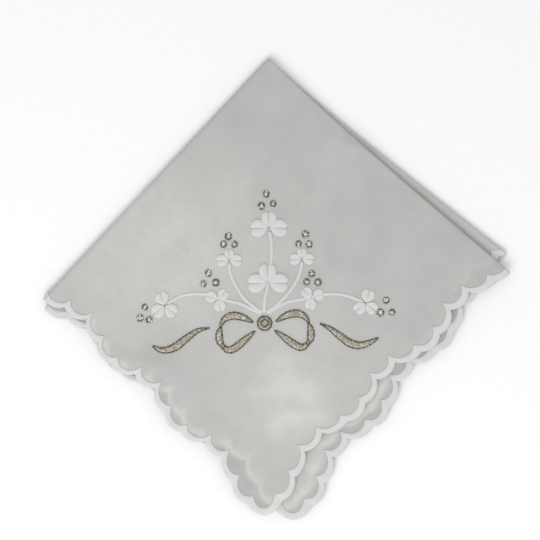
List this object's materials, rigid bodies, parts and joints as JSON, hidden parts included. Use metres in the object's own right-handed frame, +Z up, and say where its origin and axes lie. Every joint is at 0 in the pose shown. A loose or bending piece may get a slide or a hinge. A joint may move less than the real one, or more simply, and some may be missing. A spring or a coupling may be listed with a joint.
{
  "type": "folded handkerchief",
  "caption": "White lawn handkerchief with a scalloped satin-stitched edge and an embroidered spray, folded to a quarter and lying flat",
  "frame": {"origin": "centre of the box on the surface that the folded cloth lies on", "axes": "+Z up out of the layers, +Y towards the folded corner where both creases meet, +X to the right as seen from above with that corner at the top"},
  "size_m": [0.2056, 0.203, 0.0066],
  "materials": {
    "cotton_lawn": "matte"
  },
  "bodies": {
    "root": {"handkerchief": "cotton_lawn"}
  },
  "joints": []
}
